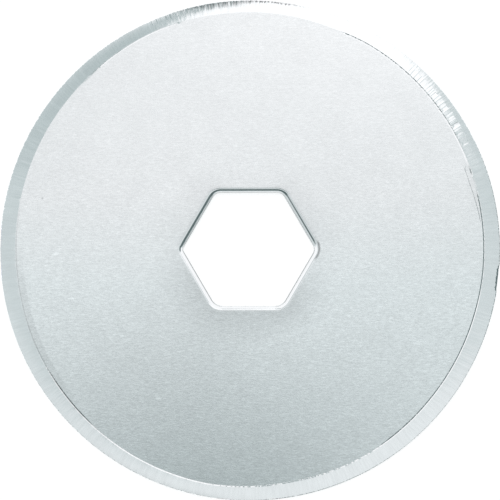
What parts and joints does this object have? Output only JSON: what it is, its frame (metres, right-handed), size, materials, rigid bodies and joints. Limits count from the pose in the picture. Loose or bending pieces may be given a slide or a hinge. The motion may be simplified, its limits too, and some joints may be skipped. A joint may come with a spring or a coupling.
{
  "type": "rotary cutter blade",
  "caption": "Round steel blade ground to a cutting edge all the way round, with a hexagonal hub hole in the middle.",
  "frame": {"origin": "middle of the blade on its underside, on the axis of the hexagonal hole", "axes": "+Z along the blade's axis, out of the face that the hole was punched from; two corners of the hexagon point along +X and -X"},
  "size_m": [0.028, 0.028, 0.0003],
  "materials": {
    "blade_steel": "satin rolled faces with a fine grain along X, radially ground bright bevels"
  },
  "bodies": {
    "root": {"blade": "blade_steel"}
  },
  "joints": []
}
